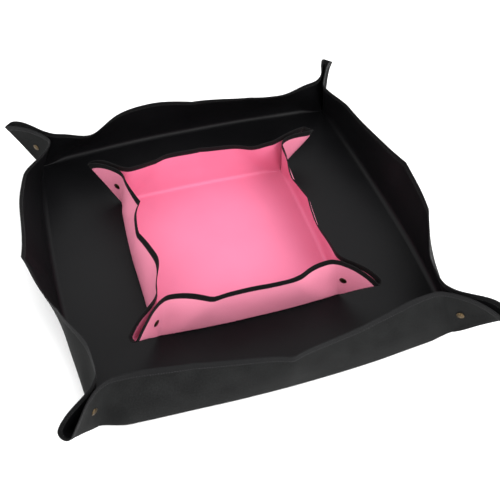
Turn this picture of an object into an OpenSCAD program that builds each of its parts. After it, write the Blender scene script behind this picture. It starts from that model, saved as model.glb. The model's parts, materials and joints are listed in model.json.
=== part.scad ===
// Nest of two fold-up trays. Each is one square sheet with a bound edge. Its four corners are pinched
// into ears by snap pairs, which stands its walls up. The walls and ears are hinged panels here, so
// the fold lines are joint axes. The origin is on the ground under the middle of the outer tray, with
// its front wall towards -Y.

/* [Outer tray] */
// Side of the outer tray's base, from fold to fold
outer_base_side = 570; // [475:5:700]
// Width of the outer tray's walls, from fold to rim
outer_wall_width = 96; // [80:1:118]

/* [Inner tray] */
// Side of the inner tray's base, from fold to fold
inner_base_side = 304; // [252:2:370]
// Width of the inner tray's walls, from fold to rim
inner_wall_width = 88; // [73:1:108]
// How far right of the middle the inner tray lies
inner_right = -10; // [-20:1:20]
// How far behind the middle the inner tray lies
inner_back = -8; // [-20:1:20]
// How far the inner tray is turned, in degrees
inner_turn = -1; // [-3:0.5:3]

/* [Sheet] */
// Thickness of both sheets
sheet = 0.6; // [0.4:0.1:0.8]
// Radius of the rounded corners of the flat sheets
corner_round = 64; // [40:1:66]
// How far the pinched corners lean over the base, in degrees
corner_lean = 6; // [4:0.5:9]
// Space between a panel and the bead of its fold
fold_gap = 0.1; // [0.05:0.05:0.2]
// Space between the two trays' bases
nest_gap = 0.25; // [0.1:0.05:0.5]

/* [Binding] */
// Width of the binding tape on each face
binding_width = 10; // [6:0.5:14]
// Thickness of the binding tape
tape = 0.4; // [0.2:0.1:0.6]

/* [Snaps] */
// Diameter of a snap's cap
cap_d = 12.5; // [10:0.5:15]
// Height of a snap's domed cap
cap_h = 1.8; // [1.2:0.1:2.4]
// Distance of the snaps from the rim, along the pinch
snap_drop = 48; // [38:1:50]
// Distance of the snaps from the pinch
snap_in = 9; // [8:0.5:14]
// Space that a closed snap pair keeps between its two layers
snap_stack = 3.2; // [2.6:0.1:4]
// Diameter of the rivet that goes through the sheet
rivet_d = 4; // [3:0.5:5]
// Play of the rivet in its hole
rivet_play = 0.1; // [0.05:0.05:0.2]

/* [Hidden] */
$fn = 48;
TRAYS = ["outer", "inner"];
SIDES = ["front", "right", "back", "left"];

base_side = [outer_base_side, inner_base_side];
wall_width = [outer_wall_width, inner_wall_width];
tray_z = [0, sheet + nest_gap];
sheet_colour = ["#20242b", "#d63a68"];
binding_colour = "#15161a";
snap_colour = "#8c7347";

// An ear's half spans this angle, from the pinch line to the ear's own fold
ear_angle = 45 + corner_lean;
binding_half = sheet / 2 + tape;
// Panels stop this far from the axis of their fold, and bindings this far
panel_back = sheet / 2 + fold_gap;
binding_back = binding_half;
clear = 0.15;
dome_r = (pow(cap_d / 2, 2) + pow(cap_h, 2)) / (2 * cap_h);
flange_d = 0.8 * cap_d;
flange_h = 0.4;
socket_h = 0.45 * snap_stack;
stud_d = 4.4;
stud_play = 0.5;
stud_h = 0.75 * snap_stack;

// Ear e of side k: 0 is at the side's left end seen from outside, and 1 at its right end
function ear_name(k, e) = str(SIDES[k], "_", SIDES[(k + (e == 0 ? 3 : 1)) % 4]);

// Snap's place on an ear half: [off the pinch line, along it from the base's corner]
function snap_at(i) = [snap_in, wall_width[i] / cos(corner_lean) - snap_drop];
// Angle between an ear half and the plane through the ear's middle, which the snap stack sets
function ear_open(i) =
    let (off = snap_at(i)[0], along = snap_at(i)[1])
    asin((snap_stack + sheet) / 2 / (along * sin(ear_angle) - off * cos(ear_angle)));
// Fold of a wall from flat, at which its ears close to that angle
function wall_fold(i) =
    acos((sqrt(2) * sin(ear_angle) * sin(ear_open(i)) - sin(corner_lean)) / cos(corner_lean));
// Slope of an ear's own fold above the ground
function ear_slope(i) =
    let (across = (cos(corner_lean) * cos(wall_fold(i)) - sin(corner_lean)) / sqrt(2))
    let (up = cos(corner_lean) * sin(wall_fold(i)))
    atan2(up, across) - acos(cos(ear_angle) / norm([across, up]));
// Fold of an ear half from the plane of its wall
function ear_fold(i) =
    let (out = cos(ear_slope(i)) / sqrt(2), up = sin(ear_slope(i)), fold = wall_fold(i))
    let (along = up * sin(fold) + out * cos(fold), behind = out * sin(fold) - up * cos(fold))
    atan2(behind, out * cos(corner_lean) + along * sin(corner_lean));

// Distance from an ear's own fold at which a layer of half thickness half is clear of its twin
function fold_clear(i, half) = (half + clear) / sin(ear_open(i));
// The same, along the pinch line from the base's corner
function corner_clear(i) = fold_clear(i, sheet / 2) / sin(ear_angle);

module tray_frame(i) {
    shift = [[0, 0, tray_z[i]], [inner_right, inner_back, tray_z[i]]];
    translate(shift[i]) rotate([0, 0, i * inner_turn]) children();
}

// In a wall's frame X runs along the fold, Y from the fold to the rim, and Z to the tray's inside
module wall_frame(i, k) {
    tray_frame(i)
        rotate([0, 0, 90 * k])
            translate([0, -base_side[i] / 2, sheet / 2])
                rotate([-wall_fold(i), 0, 0])
                    rotate([0, 0, 180]) children();
}

// An ear's frame is its wall's, moved to the base's corner and turned about the pinch line
module ear_frame(i, k, e) {
    wall_frame(i, k)
        mirror([e, 0, 0])
            translate([base_side[i] / 2, 0, 0])
                rotate(a = ear_fold(i), v = [-sin(corner_lean), cos(corner_lean), 0]) children();
}

module snap_frame(i, k, e) {
    ear_frame(i, k, e) rotate([0, 0, corner_lean]) translate(snap_at(i)) children();
}

module plate(thick) {
    translate([0, 0, -thick / 2]) linear_extrude(thick) children();
}

module base_shape(i) {
    side = base_side[i];
    translate([0, 0, sheet / 2]) {
        plate(sheet) square(side, center = true);
        for (k = [0:3]) {
            rotate([0, 0, 90 * k])
                translate([-side / 2, -side / 2, 0]) rotate([0, 90, 0]) cylinder(h = side, d = sheet);
        }
    }
}

// A wall's outline between two heights, its ends held back from the pinch lines
module wall_outline(i, low, high, back) {
    half = base_side[i] / 2 - back;
    slope = tan(corner_lean);
    polygon([
        [-half + low * slope, low], [half - low * slope, low],
        [half - high * slope, high], [-half + high * slope, high]
    ]);
}

module wall_shape(i) {
    half = base_side[i] / 2;
    length = wall_width[i] / cos(corner_lean);
    plate(sheet) difference() {
        wall_outline(i, panel_back, wall_width[i], 0);
        for (x = [-half, half]) translate([x, 0]) circle(corner_clear(i));
    }
    for (e = [0, 1]) {
        mirror([e, 0, 0])
            translate([half, 0, 0])
                rotate([-90, 0, corner_lean])
                    translate([0, 0, corner_clear(i)])
                        cylinder(h = length - corner_clear(i) - sheet / 2, d = sheet);
    }
}

module wall_binding_shape(i) {
    width = wall_width[i];
    difference() {
        plate(2 * binding_half) wall_outline(i, width - binding_width, width + tape, binding_back);
        plate(sheet) wall_outline(i, 0, width, 0);
    }
}

// The flat sheet's rounded corner, seen from the base's corner, grown by grow
module sheet_corner(i, grow) {
    reach = wall_width[i] + grow;
    round = corner_round + grow;
    far = 2 * reach;
    difference() {
        translate([-far, -far]) square(reach + far);
        translate([reach - round, reach - round]) square(round);
    }
    translate([reach - round, reach - round]) circle(round);
}

// The wedge between the pinch line and the ear's own fold, held back from both
module ear_wedge(i, pinch_back, fold_back) {
    start = (fold_back + pinch_back * cos(ear_angle)) / sin(ear_angle);
    far = 3 * wall_width[i];
    rotate([0, 0, corner_lean]) polygon([
        [pinch_back, start],
        [pinch_back, start + far],
        [pinch_back + far * sin(ear_angle), start + far * cos(ear_angle)]
    ]);
}

module ear_shape(i) {
    difference() {
        plate(sheet) intersection() {
            ear_wedge(i, panel_back, fold_clear(i, sheet / 2));
            sheet_corner(i, 0);
        }
        rotate([0, 0, corner_lean])
            translate(snap_at(i)) cylinder(h = 4 * sheet, d = rivet_d + 2 * rivet_play, center = true);
    }
}

// Tape on one face of an ear's edge, and half of the tape over the edge. The sheet runs through it.
module ear_tape(i, fold_back) {
    linear_extrude(binding_half) intersection() {
        ear_wedge(i, binding_back, fold_back);
        difference() {
            sheet_corner(i, tape);
            sheet_corner(i, -binding_width);
        }
    }
}

// The two layers nearly meet at the ear's own fold, so the tape inside the ear stops sooner
module ear_tapes(i) {
    ear_tape(i, fold_clear(i, binding_half));
    mirror([0, 0, 1]) ear_tape(i, fold_clear(i, sheet / 2));
}

// The same tapes as a piece of their own, hollowed for the sheet
module ear_binding_shape(i) {
    difference() {
        ear_tapes(i);
        plate(sheet) sheet_corner(i, 0);
    }
}

// Domed cap outside the ear, and the rivet through the sheet
module cap_shape() {
    translate([0, 0, -sheet / 2]) mirror([0, 0, 1]) intersection() {
        cylinder(h = cap_h, d = cap_d);
        translate([0, 0, cap_h - dome_r]) sphere(dome_r, $fn = 96);
    }
    translate([0, 0, -sheet]) cylinder(h = 1.5 * sheet + flange_h / 2, d = rivet_d);
}

module socket_shape() {
    cap_shape();
    translate([0, 0, sheet / 2]) difference() {
        cylinder(h = socket_h, d = flange_d);
        translate([0, 0, flange_h]) cylinder(h = socket_h, d = stud_d + 2 * stud_play);
    }
}

module stud_shape() {
    cap_shape();
    translate([0, 0, sheet / 2]) {
        cylinder(h = flange_h, d = flange_d);
        cylinder(h = stud_h, d = stud_d);
    }
}

module base(i) {
    color(sheet_colour[i]) tray_frame(i) base_shape(i);
}

module wall(i, k) {
    color(sheet_colour[i]) wall_frame(i, k) wall_shape(i);
}

module wall_binding(i, k) {
    color(binding_colour) wall_frame(i, k) wall_binding_shape(i);
}

module inner_ear(k, e) {
    color(sheet_colour[1]) ear_frame(1, k, e) ear_shape(1);
}

// The outer tray's ear tapes are the sheet's own colour and belong to its ears
module outer_ear(k, e) {
    color(sheet_colour[0]) ear_frame(0, k, e) {
        ear_shape(0);
        ear_tapes(0);
    }
}

module ear_binding(k, e) {
    color(binding_colour) ear_frame(1, k, e) ear_binding_shape(1);
}

module socket(i, k) {
    color(snap_colour) snap_frame(i, k, 0) socket_shape();
}

module stud(i, k) {
    color(snap_colour) snap_frame(i, k, 1) stud_shape();
}

for (i = [0, 1], k = [0:3]) {
    tray = TRAYS[i];
    wall(i, k);
    wall_binding(i, k);
    socket(i, k);
    stud(i, k);
}
for (i = [0, 1]) {
    base(i);
}
for (k = [0:3], e = [0, 1]) {
    outer_ear(k, e);
    inner_ear(k, e);
    ear_binding(k, e);
}
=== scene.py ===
import json
import math

import bmesh
import bpy
from mathutils import Matrix, Vector, noise


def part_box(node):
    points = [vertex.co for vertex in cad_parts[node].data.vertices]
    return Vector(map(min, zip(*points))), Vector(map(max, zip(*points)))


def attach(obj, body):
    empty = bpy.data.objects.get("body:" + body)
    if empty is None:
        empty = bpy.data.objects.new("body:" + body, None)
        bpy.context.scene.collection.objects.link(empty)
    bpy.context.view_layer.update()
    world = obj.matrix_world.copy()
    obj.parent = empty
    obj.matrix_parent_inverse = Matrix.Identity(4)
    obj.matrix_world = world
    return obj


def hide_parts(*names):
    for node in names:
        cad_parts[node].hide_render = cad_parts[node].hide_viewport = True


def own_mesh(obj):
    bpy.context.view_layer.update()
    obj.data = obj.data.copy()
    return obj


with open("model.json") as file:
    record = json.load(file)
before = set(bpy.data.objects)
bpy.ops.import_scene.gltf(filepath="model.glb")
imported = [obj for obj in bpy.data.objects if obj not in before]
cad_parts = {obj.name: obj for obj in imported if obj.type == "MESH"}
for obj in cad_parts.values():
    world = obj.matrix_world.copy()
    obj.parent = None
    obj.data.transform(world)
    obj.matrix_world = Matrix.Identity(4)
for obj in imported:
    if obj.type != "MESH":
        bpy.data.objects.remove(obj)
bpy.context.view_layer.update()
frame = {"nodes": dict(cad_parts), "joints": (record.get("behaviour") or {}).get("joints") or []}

mm = 0.001
up = Vector((0, 0, 1))
sideNames = ["front", "right", "back", "left"]
jointOf = {joint["child"]: joint for joint in frame["joints"]}


# small helpers

def ease(t):
    t = min(1.0, max(0.0, t))
    return t * t * (3 - 2 * t)


def mix(a, b, t):
    return a + (b - a) * t


# a smooth curve through evenly spaced values
def along(values, share):
    last = len(values) - 1
    place = min(1.0, max(0.0, share)) * last
    i = min(int(place), last - 1)
    t = place - i
    a, b = values[i], values[i + 1]
    before = values[i - 1] if i > 0 else 2 * a - b
    after = values[i + 2] if i + 2 <= last else 2 * b - a
    slopeA, slopeB = (b - before) / 2, (after - a) / 2
    rise = b - a
    curve = t * t * (3 * rise - 2 * slopeA - slopeB) + t ** 3 * (slopeA + slopeB - 2 * rise)
    return a + t * slopeA + curve


def wobble(point, scale, seed):
    return noise.noise(Vector((point.x * scale + seed, point.y * scale, point.z * scale)))


# where the frame says the sheets fold

def reach(node, origin, direction):
    dots = [(v.co - origin).dot(direction) for v in frame["nodes"][node].data.vertices]
    return min(dots), max(dots)


def readEar(tray, side, other, wall, end):
    joint = jointOf[f"{tray}_ear_{side}_{other}"]
    pinch = Vector(joint["axis"]).normalized()
    if pinch.z < 0:
        pinch = -pinch
    away = (wall["out"] + wall["run"] * end).normalized()
    across, rise = pinch.dot(away), pinch.z
    lean = math.acos(min(1.0, (pinch - wall["run"] * pinch.dot(wall["run"])).length))
    angle = math.pi / 4 + lean
    slope = math.atan2(rise, across) - math.acos(math.cos(angle) / math.hypot(across, rise))
    fold = away * math.cos(slope) + up * math.sin(slope)
    spread = (fold - pinch * fold.dot(pinch)).normalized()
    normal = pinch.cross(spread).normalized()
    if normal.dot(wall["out"]) < 0:
        normal = -normal
    return {
        "name": f"{side}_{other}", "body": f"{tray}_ear_{side}_{other}", "joint": joint["name"],
        "corner": Vector(joint["pos_m"]), "pinch": pinch, "spread": spread, "normal": normal,
        "away": away, "out": wall["out"], "angle": angle, "lean": lean,
        "corners": f"{side}_{other}" if end > 0 else f"{other}_{side}",
        "bisector": (normal + wall["normal"]).normalized(),
    }


def readWall(tray, k):
    side = sideNames[k]
    joint = jointOf[f"{tray}_wall_{side}"]
    run = Vector(joint["axis"]).normalized()
    wall = {"name": side, "body": f"{tray}_wall_{side}", "joint": joint["name"],
            "mid": Vector(joint["pos_m"]), "run": run, "out": run.cross(up).normalized()}
    ends = [(sideNames[k - 1], -1), (sideNames[(k + 1) % 4], 1)]
    pinch = Vector(jointOf[f"{tray}_ear_{side}_{ends[0][0]}"]["axis"])
    if pinch.z < 0:
        pinch = -pinch
    wall["rise"] = (pinch - run * pinch.dot(run)).normalized()
    wall["normal"] = run.cross(wall["rise"]).normalized()
    wall["ears"] = [readEar(tray, side, other, wall, end) for other, end in ends]
    wall["half"] = (wall["ears"][1]["corner"] - wall["mid"]).dot(run)
    wall["lean"] = wall["ears"][0]["lean"]
    wall["width"] = reach(f"{tray}_wall_{side}", wall["mid"], wall["rise"])[1]
    taped = reach(f"{tray}_binding_{side}", wall["mid"], wall["rise"])
    wall["tapeWidth"] = wall["width"] - taped[0]
    wall["tip"] = wall["rise"].dot(wall["out"]) / wall["rise"].z
    wall["height"] = wall["width"] * wall["rise"].z
    for ear in wall["ears"]:
        ear["height"] = wall["height"]
    return wall


def readTray(tray):
    low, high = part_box(f"{tray}_base")
    walls = [readWall(tray, k) for k in range(4)]
    return {"name": tray, "thick": high.z - low.z, "walls": walls,
            "middle": sum((w["mid"] for w in walls), Vector()) / 4}


# how each sheet stands, in mm unless a note says otherwise
# foot and rim: how far the bend and the rim stand outside the wall's fold line, at nine even places
#   from the wall's left end to its right end, seen from outside
# sag: how far the rim sits low, at the same places
# cornerFoot, cornerBend: the same foot and bend at the base's corners, which fade out up the pinch
#   from the height fadeFrom to fadeTo
# fillet: how far from a pinch the sheet starts to round into it
# belly: how far a wall bows out at mid height
# creases: packing folds up a wall, as (place along it from 0 to 1, push at the rim, spread)
# tuck: share of an ear's angle that its nose is pulled up by
# pinchIn: how far a corner's pinch is pulled in at the rim
# flop: how far an ear leans to the side
# loop: half the width of an ear's loop, as a share of the distance from the base's corner

outerShape = {
    "cornerRound": 84,
    "bend": 9, "footBlend": 40, "rimBlend": 85,  # radius of the bend, and where it meets the corners
    "cornerFoot": 1.5, "cornerBend": 1.5, "fadeFrom": 12, "fadeTo": 42,
    "fillet": 16, "belly": 3, "ripple": 1.6, "seed": 3.7, "tuck": 0.05,
    "foot": {
        "front": [12, 16, 19, 22, 23, 22, 19, 13, 7],
        "right": [6, 14, 19, 21, 20, 18, 15, 11, 6],
        "back": [6, 11, 16, 19, 20, 20, 17, 12, 6],
        "left": [6, 12, 18, 21, 22, 21, 18, 12, 6],
    },
    "rim": {
        "front": [-18, -12, 0, 8, 15, 13, 4, -12, -20],
        "right": [-22, -12, 18, 36, 37, 26, 11, 2, -8],
        "back": [-26, -34, -30, -16, -2, 9, -2, -42, -46],
        "left": [-4, 26, 46, 52, 52, 46, 26, -7, -12],
    },
    "sag": {
        "front": [0, 1, 2, 3, 1, 2, 2, 1, 0],
        "right": [0, 2, 5, 6, 5, 4, 2, 1, 0],
        "back": [7, 6, 4, 2, 1, 1, 3, 9, 10],
        "left": [0, 2, 5, 6, 6, 5, 3, 1, 0],
    },
    "creases": {
        "front": [(0.5, 13, 34), (0.24, -3, 30), (0.77, -3, 34)],
        "right": [(0.52, 7, 38), (0.3, 4, 22)],
        "back": [(0.48, -6, 30), (0.27, 4, 24)],
        "left": [(0.52, 9, 30), (0.75, -5, 30)],
    },
    "pinchIn": {"front_right": 16, "right_back": 14, "back_left": 20, "left_front": 10},
    "flop": {"front_right": -8, "right_back": -20, "back_left": 0, "left_front": 0},
    "loop": {
        "front_left": 0.1, "left_front": 0.12, "front_right": 0.1, "right_front": 0.12,
        "right_back": 0.09, "back_right": 0.08, "back_left": 0.08, "left_back": 0.08,
    },
}

innerShape = {
    "cornerRound": 74,
    "bend": 6, "footBlend": 30, "rimBlend": 85,
    "cornerFoot": 1.5, "cornerBend": 1.5, "fadeFrom": 9, "fadeTo": 34,
    "fillet": 12, "belly": 2, "ripple": 1.2, "seed": 8.1, "tuck": 0.03,
    "foot": {
        "front": [4.5, 6, 8, 9, 9, 9, 8, 6, 4.5],
        "right": [4.5, 6, 7, 8, 8, 8, 7, 6, 4.5],
        "back": [4.5, 6, 7, 8, 8, 8, 7, 6, 4.5],
        "left": [4.5, 6, 8, 9, 9, 8, 7, 6, 4.5],
    },
    "rim": {
        "front": [-4, 3, 10, 11, 10, 12, 11, 3, -5],
        "right": [-6, -12, -14, -12, -10, -13, -16, -12, -6],
        "back": [-8, -16, 0, 5, 8, 11, 11, 4, -2],
        "left": [-6, -15, -17, -9, -8, -17, -25, -25, -14],
    },
    "sag": {
        "front": [0, 1, 2, 2, 3, 2, 1, 1, 0],
        "right": [0, 1, 3, 3, 2, 3, 3, 2, 0],
        "back": [0, 3, 2, 1, 1, 1, 1, 1, 0],
        "left": [0, 2, 3, 2, 2, 3, 4, 2, 0],
    },
    "creases": {
        "front": [(0.26, 5, 16), (0.79, 4, 18)],
        "right": [(0.5, 3, 18), (0.68, -3, 16)],
        "back": [(0.5, 3, 18), (0.8, -4, 14)],
        "left": [(0.27, -6, 14), (0.52, 4, 20)],
    },
    "pinchIn": {"front_right": 4, "right_back": 6, "back_left": 4, "left_front": 6},
    "flop": {"front_right": 0, "right_back": 26, "back_left": 0, "left_front": 0},
    "loop": {
        "front_left": 0.07, "left_front": 0.08, "front_right": 0.05, "right_front": 0.07,
        "right_back": 0.1, "back_right": 0.1, "back_left": 0.05, "left_back": 0.05,
    },
}


# the sheet's surface

wallWaves, earWaves = 14, 25  # how tight the sheet's ripples are, per metre
filletHeight, filletDepth = 0.03, 0.2
# the share of an ear, from its pinch, where its loop starts to open: by the base, and by the rim
loopStartLow, loopStartHigh = 0.36, 0.14
flopReach = 0.1  # distance from the base's corner where an ear leans fully


# the round bend at a wall's foot: how far out the sheet is at height z
def footPush(foot, bend, z):
    low = max(0.0, bend - z)
    return foot - bend + math.sqrt(max(0.0, bend * bend - low * low))


def cornerPush(shape, z):
    start, stop = shape["fadeFrom"] * mm, shape["fadeTo"] * mm
    push = footPush(shape["cornerFoot"] * mm, shape["cornerBend"] * mm, z)
    return push * (1 - ease((z - start) / (stop - start)))


def filletPush(shape, distance, z):
    size = shape["fillet"] * mm * ease(z / filletHeight)
    return filletDepth * size * (1 - distance / size) ** 2 if size > distance else 0.0


def wallPoint(shape, wall, share, z):
    side = wall["name"]
    height = wall["height"]
    ear = wall["ears"][0 if share < 0.5 else 1]
    pulled = shape["pinchIn"][ear["corners"]] * mm * z / height
    half = wall["half"] - z * math.tan(wall["lean"]) - pulled
    fromEnd = (1 - abs(2 * share - 1)) * half
    full = z / height
    near = ease(fromEnd / mm / mix(shape["footBlend"], shape["rimBlend"], full))
    foot = along(shape["foot"][side], share) * mm
    rim = along(shape["rim"][side], share) * mm
    bend = mix(shape["cornerBend"], shape["bend"], near) * mm
    lean = ease(full / 2) * 2
    push = footPush(foot, bend, z) + (rim - foot) * lean
    push += shape["belly"] * mm * math.sin(math.pi * full)
    for place, size, spread in shape["creases"][side]:
        gap = abs(share - place) * 2 * wall["half"]
        push += size * mm * math.exp(-gap / (spread * mm)) * ease(full * 1.1)
    flatSpot = wall["mid"] + wall["run"] * (2 * share - 1) * half + up * z
    push += shape["ripple"] * mm * wobble(flatSpot, wallWaves, shape["seed"]) * ease(full * 2)
    pinned = wall["tip"] * z + cornerPush(shape, z) - pulled
    out = mix(pinned, push, near)
    drop = along(shape["sag"][side], share) * mm * full * near + pulled * pulled / height * (1 - near)
    point = flatSpot + wall["out"] * out - up * drop
    return point + ear["bisector"] * filletPush(shape, fromEnd, z)


def earRadius(shape, ear, width, angle, depth):
    turn = angle - ear["lean"]
    size = width - depth
    rounding = shape["cornerRound"] * mm - depth
    centre = size - rounding
    if math.tan(turn) * size <= centre:
        return size / math.cos(turn)
    middle = centre * (math.sin(turn) + math.cos(turn))
    return middle + math.sqrt(middle * middle - 2 * centre * centre + rounding * rounding)


# The flat sheet's wedge, swelled into one side of the ear's loop. A loop is narrower than a sharp fold,
# so its nose is tucked up by a share of the wedge's angle.
def earPoint(shape, ear, share, radius):
    angle = share * ear["angle"] * (1 - shape["tuck"] * share * share)
    arm = (ear["pinch"] * math.cos(angle) + ear["spread"] * math.sin(angle)) * radius
    flatSpot = ear["corner"] + arm
    z = max(0.0, arm.z)
    # a teardrop: round at the nose, then closing towards the pinch
    start = mix(loopStartLow, loopStartHigh, ease((radius - 0.06) / 0.03))
    loop = shape["loop"][ear["name"]]
    fromNose = (1 - share) * ear["angle"]
    if fromNose < loop:
        swell = radius * math.sqrt(loop * loop - (loop - fromNose) ** 2)
    else:
        swell = radius * loop * ease((share - start) / (1 - loop / ear["angle"] - start))
    ripple = shape["ripple"] / 2 * mm * wobble(flatSpot, earWaves, shape["seed"])
    swell += ripple * ease((share - start) * 3) * (1 - share ** 6)
    across = ear["away"].cross(up)
    swell -= arm.dot(across) / ear["normal"].dot(across) * ease(share * 2 - 1)
    pulled = shape["pinchIn"][ear["corners"]] * mm * z / ear["height"]
    fading = (1 - share) ** 2
    leant = shape["flop"][ear["corners"]] * mm * ease(radius / flopReach) * ease(share * 1.3)
    turn = ease(share)
    towards = ear["out"] * (1 - turn) + ear["away"] * 1.2 * turn
    point = flatSpot + ear["normal"] * swell + towards * cornerPush(shape, z)
    point += across * leant - ear["away"] * pulled * math.sqrt(2) * fading
    point -= up * pulled * pulled / ear["height"] * fading
    return point + ear["bisector"] * filletPush(shape, radius * angle, z)


def surfaceNormal(spot, a, b, inside):
    stepA, stepB = 0.004, 0.0012
    sideA = spot(min(1.0, a + stepA), b) - spot(max(0.0, a - stepA), b)
    sideB = spot(a, b + stepB) - spot(a, b - stepB if b > stepB else 0.0)
    normal = sideA.cross(sideB).normalized()
    return normal if normal.dot(inside) > 0 else -normal


# meshes

def meshPiece(name, verts, faces, slots, materials, uvs=None):
    mesh = bpy.data.meshes.new(name)
    mesh.from_pydata(verts, [], faces)
    for material in materials:
        mesh.materials.append(material)
    mesh.polygons.foreach_set("material_index", slots)
    mesh.polygons.foreach_set("use_smooth", [True] * len(faces))
    if uvs:
        layer = mesh.uv_layers.new(name="flat")
        for loop in mesh.loops:
            layer.data[loop.index].uv = uvs[loop.vertex_index]
    mesh.update()
    mesh.set_sharp_from_angle(angle=math.radians(55))
    piece = bpy.data.objects.new(name, mesh)
    bpy.context.scene.collection.objects.link(piece)
    return piece


def sheetPiece(name, grid, flat, thick, inside, materials):
    rows, cols = len(grid), len(grid[0])
    verts, uvs, normals = [], [], []
    for i in range(rows):
        for j in range(cols):
            sideA = grid[i][min(cols - 1, j + 1)] - grid[i][max(0, j - 1)]
            sideB = grid[min(rows - 1, i + 1)][j] - grid[max(0, i - 1)][j]
            normal = sideA.cross(sideB)
            normal = normal.normalized() if normal.length > 1e-12 else inside.normalized()
            normals.append(normal if normal.dot(inside) > 0 else -normal)
    spots = [p for row in grid for p in row]
    flatSpots = [p for row in flat for p in row]
    for sign in (1, -1):
        verts += [p + n * sign * thick / 2 for p, n in zip(spots, normals)]
        uvs += flatSpots
    count = rows * cols
    faces, slots = [], []
    for i in range(rows - 1):
        for j in range(cols - 1):
            a, b = i * cols + j, (i + 1) * cols + j
            quad = (a, a + 1, b + 1, b)
            crossing = (spots[a + 1] - spots[a]).cross(spots[b] - spots[a])
            if crossing.dot(normals[a]) < 0:
                quad = quad[::-1]
            faces += [quad, tuple(q + count for q in quad[::-1])]
            slots += [0, 1]
    border = list(range(cols)) + [i * cols + cols - 1 for i in range(1, rows)]
    border += [(rows - 1) * cols + j for j in range(cols - 2, -1, -1)]
    border += [i * cols for i in range(rows - 2, 0, -1)]
    for a, b in zip(border, border[1:] + border[:1]):
        faces.append((a, b, b + count, a + count))
        slots.append(2)
    piece = meshPiece(name, verts, faces, slots, materials, uvs)
    fixNormals(piece)
    return piece


def fixNormals(piece):
    made = bmesh.new()
    made.from_mesh(piece.data)
    bmesh.ops.recalc_face_normals(made, faces=made.faces)
    made.to_mesh(piece.data)
    made.free()


# a strip of tape over the rim: (depth below the rim, height off the sheet's middle), in mm
tapeSection = [
    (10, 0.25), (9.9, 0.6), (9.2, 0.76), (6, 0.72), (1.5, 0.76), (0.3, 0.8), (-0.35, 0.62), (-0.62, 0)
]
tapeSection += [(depth, -high) for depth, high in tapeSection[-2::-1]]
usualTapeWidth = 0.01
backOfTape = 0.03  # keeps the weave on the two faces apart


def rimSpot(spot, rimAt, share, depth, high, inside):
    below = rimAt(share, max(0.0, depth))
    point = spot(share, below)
    normal = surfaceNormal(spot, share, below, inside)
    if depth < 0:
        point += (point - spot(share, rimAt(share, 0.001))).normalized() * -depth
    return point + normal * high


def tapePiece(name, spot, rimAt, stations, width, inside, material):
    scale = width / usualTapeWidth
    verts, uvs = [], []
    travelled, last = 0.0, None
    for share in stations:
        edge = spot(share, rimAt(share, 0.0))
        travelled += (edge - last).length if last else 0.0
        last = edge
        for depth, high in tapeSection:
            verts.append(rimSpot(spot, rimAt, share, depth * scale * mm, high * mm, inside))
            uvs.append((travelled, depth * mm + (backOfTape if high < 0 else 0.0)))
    ring = len(tapeSection)
    faces = []
    for i in range(len(stations) - 1):
        for j in range(ring):
            a, b = i * ring + j, i * ring + (j + 1) % ring
            faces.append((a, b, b + ring, a + ring))
    faces += [tuple(range(ring)), tuple(range((len(stations) - 1) * ring, len(stations) * ring))]
    piece = meshPiece(name, verts, faces, [0] * len(faces), [material], uvs)
    fixNormals(piece)
    return piece


# in mm: the row's depth below the rim, and a stitch's height off the sheet's middle
stitchShape = {"pitch": 3.9, "length": 2.9, "radius": 0.24, "depth": 8.0, "height": 0.82, "sides": 5}
stitchRings = [(-1, 0.3, 0.45), (0, 0, 1), (1, 0.3, 0.45)]  # place along it, how deep it dips, size


def addStitch(verts, faces, spots, off):
    run = (spots[2] - spots[0]).normalized()
    cross = run.cross(off).normalized()
    sides = stitchShape["sides"]
    start = len(verts)
    for point, (_, _, size) in zip(spots, stitchRings):
        radius = stitchShape["radius"] * mm * size
        for j in range(sides):
            turn = 2 * math.pi * j / sides
            verts.append(point + (cross * math.cos(turn) + off * math.sin(turn) * 0.8) * radius)
    for ring in range(2):
        for j in range(sides):
            a, b = start + ring * sides + j, start + ring * sides + (j + 1) % sides
            faces.append((a, b, b + sides, a + sides))
    last = start + 2 * sides
    faces += [tuple(range(start, start + sides)), tuple(range(last, last + sides))]


def stitchPiece(name, spot, rimAt, length, width, inside, material):
    count = max(4, int(length / (stitchShape["pitch"] * mm)))
    depth = stitchShape["depth"] * mm * width / usualTapeWidth
    half = stitchShape["length"] * mm / 2 / length
    verts, faces = [], []
    for face in (1, -1):
        for k in range(count):
            centre = (k + 0.5) / count
            spots = []
            for place, dip, _ in stitchRings:
                share = min(1, max(0, centre + place * half))
                high = face * (stitchShape["height"] - dip) * mm
                spots.append(rimSpot(spot, rimAt, share, depth, high, inside))
            off = surfaceNormal(spot, centre, rimAt(centre, depth), inside) * face
            addStitch(verts, faces, spots, off)
    piece = meshPiece(name, verts, faces, [0] * len(faces), [material])
    fixNormals(piece)
    return piece


# materials

def makeMaterial(name):
    material = bpy.data.materials.new(name)
    material.use_nodes = True
    tree = material.node_tree
    return material, tree, tree.nodes["Principled BSDF"]


def addNode(tree, kind, inputs=None, **settings):
    node = tree.nodes.new(kind)
    for key, value in settings.items():
        setattr(node, key, value)
    for key, value in (inputs or {}).items():
        if isinstance(value, bpy.types.NodeSocket):
            tree.links.new(value, node.inputs[key])
        else:
            node.inputs[key].default_value = value
    return node


def noiseNode(tree, place, scale, detail=2.0, roughness=0.5):
    inputs = {"Vector": place, "Scale": scale, "Detail": detail, "Roughness": roughness}
    return addNode(tree, "ShaderNodeTexNoise", inputs).outputs["Fac"]


def waveNode(tree, place, scale, direction, distortion, detail=2.0):
    inputs = {"Vector": place, "Scale": scale, "Distortion": distortion, "Detail": detail}
    return addNode(tree, "ShaderNodeTexWave", inputs, bands_direction=direction).outputs["Fac"]


def blendNode(tree, share, a, b):
    inputs = {"Factor": share, "A": a, "B": b}
    return addNode(tree, "ShaderNodeMix", inputs, data_type="FLOAT").outputs["Result"]


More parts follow.
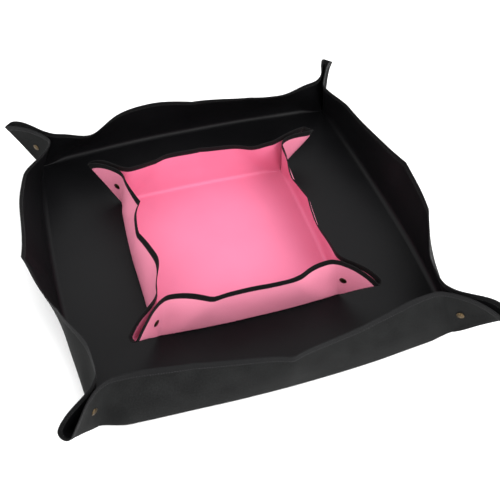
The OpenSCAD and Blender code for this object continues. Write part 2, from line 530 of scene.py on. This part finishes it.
def bumpNode(tree, height, strength, distance, under=None):
    inputs = {"Height": height, "Strength": strength, "Distance": distance}
    if under:
        inputs["Normal"] = under
    return addNode(tree, "ShaderNodeBump", inputs).outputs["Normal"]


# noise mostly lies between these two values
noiseLow, noiseHigh = 0.3, 0.7


def colourBetween(tree, factor, dark, light):
    ramp = addNode(tree, "ShaderNodeValToRGB", {"Fac": factor})
    low, high = ramp.color_ramp.elements
    low.color, high.color = (*dark, 1), (*light, 1)
    low.position, high.position = noiseLow, noiseHigh
    return ramp.outputs["Color"]


def rangeNode(tree, value, low, high):
    inputs = {"Value": value, "From Min": noiseLow, "From Max": noiseHigh,
              "To Min": low, "To Max": high}
    return addNode(tree, "ShaderNodeMapRange", inputs).outputs["Result"]


# a coated or felted face: broad clouds, pebbles and a fine grain over the flat cut
def sheetMaterial(name, look):
    material, tree, shader = makeMaterial(name)
    flat = addNode(tree, "ShaderNodeTexCoord").outputs["UV"]
    cloudy = noiseNode(tree, flat, look["cloudScale"], 3.0)
    grain = noiseNode(tree, flat, look["grainScale"], 4.0, 0.65)
    pebbles = addNode(tree, "ShaderNodeTexVoronoi", {"Vector": flat, "Scale": look["pebbleScale"]},
                      feature="SMOOTH_F1")
    blend = blendNode(tree, look["grainInColour"], cloudy, grain)
    tree.links.new(colourBetween(tree, blend, look["dark"], look["light"]), shader.inputs["Base Color"])
    tree.links.new(rangeNode(tree, cloudy, *look["rough"]), shader.inputs["Roughness"])
    soft = bumpNode(tree, cloudy, look["softBump"], 0.004)
    pebbled = bumpNode(tree, pebbles.outputs["Distance"], look["pebbleBump"], 0.0004, soft)
    fine = bumpNode(tree, grain, look["grainBump"], 0.0003, pebbled)
    tree.links.new(fine, shader.inputs["Normal"])
    shader.inputs["Specular IOR Level"].default_value = look["gloss"]
    shader.inputs["Sheen Weight"].default_value = look["sheen"]
    shader.inputs["Sheen Roughness"].default_value = 0.5
    return material


# woven tape and cut edges: crossed threads at 45 degrees, with fuzz
def weaveMaterial(name, dark, light, threads, bump, rough):
    material, tree, shader = makeMaterial(name)
    flat = addNode(tree, "ShaderNodeTexCoord").outputs["UV"]
    bias = {"Vector": flat, "Rotation": (0, 0, math.radians(45))}
    turned = addNode(tree, "ShaderNodeMapping", bias).outputs["Vector"]
    warp = waveNode(tree, turned, threads, "X", 0.6, 1.0)
    weft = waveNode(tree, turned, threads, "Y", 0.6, 1.0)
    weave = addNode(tree, "ShaderNodeMath", {0: warp, 1: weft}, operation="MAXIMUM").outputs["Value"]
    fuzz = noiseNode(tree, flat, 260.0, 3.0)
    blend = blendNode(tree, 0.6, weave, fuzz)
    tree.links.new(colourBetween(tree, blend, dark, light), shader.inputs["Base Color"])
    tree.links.new(rangeNode(tree, fuzz, rough - 0.08, rough + 0.08), shader.inputs["Roughness"])
    tree.links.new(bumpNode(tree, weave, bump, 0.0003), shader.inputs["Normal"])
    shader.inputs["Sheen Weight"].default_value = 0.02
    shader.inputs["Specular IOR Level"].default_value = 0.1
    return material


def threadMaterial(name, dark, light):
    material, tree, shader = makeMaterial(name)
    place = addNode(tree, "ShaderNodeTexCoord").outputs["Object"]
    twist = waveNode(tree, place, 900.0, "DIAGONAL", 1.0)
    tree.links.new(colourBetween(tree, twist, dark, light), shader.inputs["Base Color"])
    tree.links.new(bumpNode(tree, twist, 0.4, 0.0002), shader.inputs["Normal"])
    shader.inputs["Roughness"].default_value = 0.6
    shader.inputs["Sheen Weight"].default_value = 0.2
    return material


antiqueBrass = {"dark": (0.03, 0.022, 0.012), "light": (0.15, 0.105, 0.055), "rough": (0.5, 0.26)}


def brassMaterial(name):
    material, tree, shader = makeMaterial(name)
    place = addNode(tree, "ShaderNodeTexCoord").outputs["Object"]
    blotch = noiseNode(tree, place, 420.0, 5.0, 0.6)
    scratch = noiseNode(tree, place, 2600.0)
    colour = colourBetween(tree, blotch, antiqueBrass["dark"], antiqueBrass["light"])
    tree.links.new(colour, shader.inputs["Base Color"])
    tree.links.new(rangeNode(tree, blotch, *antiqueBrass["rough"]), shader.inputs["Roughness"])
    tree.links.new(bumpNode(tree, scratch, 0.12, 0.0001), shader.inputs["Normal"])
    shader.inputs["Metallic"].default_value = 1.0
    return material


blackFace = {"dark": (0.0026, 0.0026, 0.003), "light": (0.0045, 0.0045, 0.0052), "cloudScale": 7.0,
             "grainScale": 900.0, "pebbleScale": 620.0, "grainInColour": 0.35, "rough": (0.4, 0.52),
             "softBump": 0.25, "pebbleBump": 0.1, "grainBump": 0.12, "gloss": 0.13, "sheen": 0.0}
blackBack = {"dark": (0.0012, 0.0012, 0.0013), "light": (0.012, 0.0125, 0.0125), "cloudScale": 26.0,
             "grainScale": 430.0, "pebbleScale": 900.0, "grainInColour": 0.55, "rough": (0.82, 0.95),
             "softBump": 0.2, "pebbleBump": 0.3, "grainBump": 0.8, "gloss": 0.08, "sheen": 0.02}
pinkFace = {"dark": (0.62, 0.155, 0.265), "light": (0.68, 0.185, 0.305), "cloudScale": 6.0,
            "grainScale": 900.0, "pebbleScale": 620.0, "grainInColour": 0.25, "rough": (0.42, 0.52),
            "softBump": 0.2, "pebbleBump": 0.08, "grainBump": 0.1, "gloss": 0.16, "sheen": 0.0}
pinkBack = {"dark": (0.66, 0.19, 0.29), "light": (0.78, 0.26, 0.37), "cloudScale": 8.0,
            "grainScale": 1300.0, "pebbleScale": 800.0, "grainInColour": 0.6, "rough": (0.7, 0.85),
            "softBump": 0.2, "pebbleBump": 0.2, "grainBump": 0.5, "gloss": 0.1, "sheen": 0.02}

finishes = {
    "outer": [
        sheetMaterial("blackCoatedFace", blackFace),
        sheetMaterial("blackFeltBack", blackBack),
        weaveMaterial("blackSheetEdge", (0.01, 0.01, 0.011), (0.03, 0.03, 0.032), 500.0, 0.3, 0.8),
    ],
    "inner": [
        sheetMaterial("pinkCoatedFace", pinkFace),
        sheetMaterial("pinkBack", pinkBack),
        weaveMaterial("pinkSheetEdge", (0.7, 0.3, 0.4), (0.9, 0.5, 0.6), 500.0, 0.3, 0.8),
    ],
}
tapes = {
    "outer": weaveMaterial("outerTape", (0.0012, 0.0012, 0.0014), (0.0052, 0.0052, 0.0057),
                           330.0, 0.6, 0.7),
    "inner": weaveMaterial("innerTape", (0.001, 0.0009, 0.001), (0.004, 0.0036, 0.004),
                           330.0, 0.6, 0.7),
}
threads = {
    "outer": threadMaterial("outerThread", (0.008, 0.008, 0.0085), (0.022, 0.022, 0.023)),
    "inner": threadMaterial("innerThread", (0.002, 0.002, 0.0022), (0.009, 0.009, 0.0095)),
}
brass = brassMaterial("antiqueBrass")
print("materials made")


# pieces


def followFold(pieces, panel):
    for piece in pieces:
        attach(piece, panel["body"])
        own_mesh(piece)


def makeBase(plan, shape):
    tray = plan["name"]
    walls = plan["walls"]
    steps = 56
    nearEdge = 6  # the higher, the closer to the edge the bulge begins
    turn = walls[0]["run"]
    deep = -walls[0]["out"]
    half = walls[0]["half"]

    # how far the flat stretch runs past the fold line, which the walls' round feet take up
    def bulge(side, share):
        near = ease((1 - abs(2 * share - 1)) * half / mm / shape["footBlend"])
        foot = along(shape["foot"][side], share)
        return near * (foot - mix(shape["cornerBend"], shape["bend"], near)) * mm

    grid, flat = [], []
    for i in range(steps + 1):
        row, flatRow = [], []
        for j in range(steps + 1):
            a = math.sin((j / steps - 0.5) * math.pi)
            b = math.sin((i / steps - 0.5) * math.pi)
            shareA, shareB = (a + 1) / 2, (b + 1) / 2
            x = a * half + max(0, a) ** nearEdge * bulge("right", shareB)
            x -= max(0, -a) ** nearEdge * bulge("left", 1 - shareB)
            y = b * half + max(0, b) ** nearEdge * bulge("back", 1 - shareA)
            y -= max(0, -b) ** nearEdge * bulge("front", shareA)
            row.append(plan["middle"] + turn * x + deep * y)
            flatRow.append((x, y))
        grid.append(row)
        flat.append(flatRow)
    piece = sheetPiece(f"{tray}BaseSheet", grid, flat, plan["thick"], up, finishes[tray])
    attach(piece, f"{tray}_base")
    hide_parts(f"{tray}_base")
    return piece


def wallHeights(wall, bend):
    arcSteps, restSteps = 6, 16
    arc = [bend * (1 - math.cos(math.pi / 2 * k / arcSteps)) for k in range(arcSteps + 1)]
    return arc + [mix(bend, wall["height"], (k + 1) / restSteps) for k in range(restSteps)]


# places along a wall, closer together at its ends
def wallShares(wall):
    columnWidth, crowding = 0.0065, 0.25
    columns = int(2 * wall["half"] / columnWidth)
    turns = [math.pi * j / columns for j in range(columns + 1)]
    return [0.5 - 0.5 * math.cos(turn) * (1 - crowding * math.sin(turn)) for turn in turns]


def makeWall(plan, shape, wall):
    tray = plan["name"]
    side = wall["name"]
    inside = -wall["normal"]
    tapeWidth = wall["tapeWidth"]
    shares = wallShares(wall)
    heights = wallHeights(wall, shape["bend"] * mm)

    def spot(share, z):
        return wallPoint(shape, wall, share, z)

    def rimAt(share, depth):
        return wall["height"] - depth

    grid = [[spot(share, z) for share in shares] for z in heights]
    flat = [[((2 * share - 1) * wall["half"], z) for share in shares] for z in heights]
    piece = sheetPiece(f"{tray}WallSheet_{side}", grid, flat, plan["thick"], inside, finishes[tray])
    tape = tapePiece(f"{tray}WallTape_{side}", spot, rimAt, shares, tapeWidth, inside, tapes[tray])
    rimLength = 2 * (wall["half"] - wall["height"] * math.tan(wall["lean"]))
    stitches = stitchPiece(f"{tray}WallStitches_{side}", spot, rimAt, rimLength, tapeWidth, inside,
                           threads[tray])
    followFold((piece, tape, stitches), wall)
    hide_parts(f"{tray}_wall_{side}")
    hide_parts(f"{tray}_binding_{side}")


def makeEar(plan, shape, wall, ear):
    tray = plan["name"]
    name = ear["name"]
    inside = -ear["normal"]
    angle = ear["angle"]
    width, tapeWidth = wall["width"], wall["tapeWidth"]
    columns, rows = 26, 24
    shares = [1 - (1 - j / columns) ** 1.7 for j in range(columns + 1)]  # closer at the fold
    parts = [(i / rows) ** 1.25 for i in range(rows + 1)]  # closer at the corner

    def spot(share, radius):
        return earPoint(shape, ear, share, radius)

    def rimAt(share, depth):
        return earRadius(shape, ear, width, share * angle, depth)

    def flatSpot(share, radius):
        return radius * math.sin(share * angle), radius * math.cos(share * angle)

    rims = [rimAt(s, 0) for s in shares]
    grid = [[spot(s, part * rim) for s, rim in zip(shares, rims)] for part in parts]
    flat = [[flatSpot(s, part * rim) for s, rim in zip(shares, rims)] for part in parts]
    piece = sheetPiece(f"{tray}EarSheet_{name}", grid, flat, plan["thick"], inside, finishes[tray])
    tape = tapePiece(f"{tray}EarTape_{name}", spot, rimAt, shares, tapeWidth, inside, tapes[tray])
    length = sum((b - a).length for a, b in zip(grid[-1], grid[-1][1:]))
    stitches = stitchPiece(f"{tray}EarStitches_{name}", spot, rimAt, length, tapeWidth, inside,
                           threads[tray])
    followFold((piece, tape, stitches), ear)
    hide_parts(f"{tray}_ear_{name}")
    if tray == "inner":
        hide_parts(f"inner_ear_binding_{name}")
    slices = 40
    area = sum(rimAt((k + 0.5) / slices, 0) ** 2 * angle / slices / 2 for k in range(slices))
    side = rimAt(1, 0)
    area = max(area, 0.3 * side * side)


# half outlines turned round the rivet's axis: (radius, height outside the sheet's middle), in mm
capDome = [(0, 2.02), (1.3, 1.98), (2.6, 1.84), (3.6, 1.6), (4.35, 1.25), (4.7, 0.98), (4.95, 0.93)]
capRim = [(5.2, 1.08), (5.6, 1.2), (5.95, 1.08), (6.2, 0.78), (6.25, 0.5), (6.05, 0.32)]
rivet = [(2, 0.3), (2, -0.3)]
innerPlate = [(4.9, -0.32), (5, -0.5), (4.7, -0.7)]
snapInside = {
    "socket": [(3.5, -0.8), (3.3, -1.65), (3, -1.75), (2.7, -1.62), (2.6, -0.8), (0, -0.75)],
    "stud": [(2.5, -0.72), (2.1, -1.2), (2.25, -1.8), (2.05, -2.35), (1.4, -2.65), (0, -2.72)],
}


def makeSnap(tray, ear, kind):
    low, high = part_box(f"{tray}_{kind}_{ear['name']}")
    centre = (low + high) / 2
    centre -= ear["normal"] * (centre - ear["corner"]).dot(ear["normal"])
    outline = capDome + capRim + rivet + innerPlate + snapInside[kind]
    sides = 40
    verts, faces = [], []
    for radius, height in outline:
        for j in range(sides if radius else 1):
            turn = 2 * math.pi * j / sides
            out = ear["pinch"] * math.cos(turn) + ear["spread"] * math.sin(turn)
            verts.append(centre + out * radius * mm + ear["normal"] * height * mm)
    ringStart = [0]
    for radius, height in outline[:-1]:
        ringStart.append(ringStart[-1] + (sides if radius else 1))
    for k in range(len(outline) - 1):
        a, b = ringStart[k], ringStart[k + 1]
        for j in range(sides):
            n = (j + 1) % sides
            if outline[k][0] == 0:
                faces.append((a, b + j, b + n))
            elif outline[k + 1][0] == 0:
                faces.append((a + j, b, a + n))
            else:
                faces.append((a + j, b + j, b + n, a + n))
    name = f"{tray}Snap{kind.capitalize()}_{ear['name']}"
    piece = meshPiece(name, verts, faces, [0] * len(faces), [brass])
    fixNormals(piece)
    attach(piece, ear["body"])
    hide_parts(f"{tray}_{kind}_{ear['name']}")


for tray, shape in (("outer", outerShape), ("inner", innerShape)):
    plan = readTray(tray)
    makeBase(plan, shape)
    for wall in plan["walls"]:
        makeWall(plan, shape, wall)
        for ear, kind in zip(wall["ears"], ("socket", "stud")):
            makeEar(plan, shape, wall, ear)
            makeSnap(tray, ear, kind)
    print(tray, "tray made")


# floor, light and camera

studio = {
    "world": 1.35, "floor": 0.98, "floorReach": 4,
    "keyLight": {"place": (1.0, -1.3, 1.9), "size": 1.4, "power": 36.0},
    "fillLight": {"place": (-1.7, -0.9, 1.7), "size": 1.8, "power": 14.0},
    "frontLight": {"place": (0.3, -2.4, 0.9), "size": 1.6, "power": 26.0},
    "topLight": {"place": (0.2, 1.4, 2.2), "size": 1.8, "power": 6.0},
}


def makeFloor():
    far = studio["floorReach"]
    verts = [(-far, -far, 0), (far, -far, 0), (far, far, 0), (-far, far, 0)]
    material, tree, shader = makeMaterial("paleFloor")
    place = addNode(tree, "ShaderNodeTexCoord").outputs["Object"]
    cloudy = noiseNode(tree, place, 3.0)
    tone = studio["floor"]
    colour = colourBetween(tree, cloudy, (tone * 0.99,) * 3, (tone,) * 3)
    tree.links.new(colour, shader.inputs["Base Color"])
    shader.inputs["Roughness"].default_value = 0.8
    shader.inputs["Specular IOR Level"].default_value = 0.1
    floor = meshPiece("paleFloor", verts, [(0, 1, 2, 3)], [0], [material])


def makeLight(name, place, size, power):
    light = bpy.data.lights.new(name, "AREA")
    light.shape = "SQUARE"
    light.size = size
    light.energy = power
    lamp = bpy.data.objects.new(name, light)
    lamp.location = place
    lamp.rotation_mode = "QUATERNION"
    lamp.rotation_quaternion = Vector(place).to_track_quat("Z", "Y")
    bpy.context.scene.collection.objects.link(lamp)


makeFloor()
for name in ("keyLight", "fillLight", "frontLight", "topLight"):
    makeLight(name, studio[name]["place"], studio[name]["size"], studio[name]["power"])
print("floor and lights made")

world = bpy.data.worlds.new("studioWorld")
bpy.context.scene.world = world
world.use_nodes = True
world.node_tree.nodes["Background"].inputs["Color"].default_value = (1, 1, 1, 1)
world.node_tree.nodes["Background"].inputs["Strength"].default_value = studio["world"]
bpy.context.scene.view_settings.view_transform = "Standard"

# the camera aims at the middle of the outer tray's base, from in front and above
cameraView = {
    "azimuth": -17.19, "elevation": 49.01, "roll": -0.31,
    "distance": 1.3698, "lens": 56.1, "shiftX": 0.0421, "shiftY": -0.0166,
}
azimuth, elevation, roll = (math.radians(cameraView[k]) for k in ("azimuth", "elevation", "roll"))
right = Vector((math.cos(azimuth), math.sin(azimuth), 0))
away = Vector((math.sin(azimuth), -math.cos(azimuth), 0))
back = away * math.cos(elevation) + up * math.sin(elevation)
high = back.cross(right)
tiltedRight = right * math.cos(roll) - high * math.sin(roll)
tiltedHigh = right * math.sin(roll) + high * math.cos(roll)
turned = Matrix((tiltedRight, tiltedHigh, back)).transposed().to_4x4()
camera = bpy.data.objects.new("camera", bpy.data.cameras.new("camera"))
camera.matrix_world = Matrix.Translation(back * cameraView["distance"]) @ turned
camera.data.lens = cameraView["lens"]
camera.data.sensor_width = 36
camera.data.shift_x = cameraView["shiftX"]
camera.data.shift_y = cameraView["shiftY"]
bpy.context.scene.collection.objects.link(camera)
bpy.context.scene.camera = camera

bpy.context.view_layer.update()
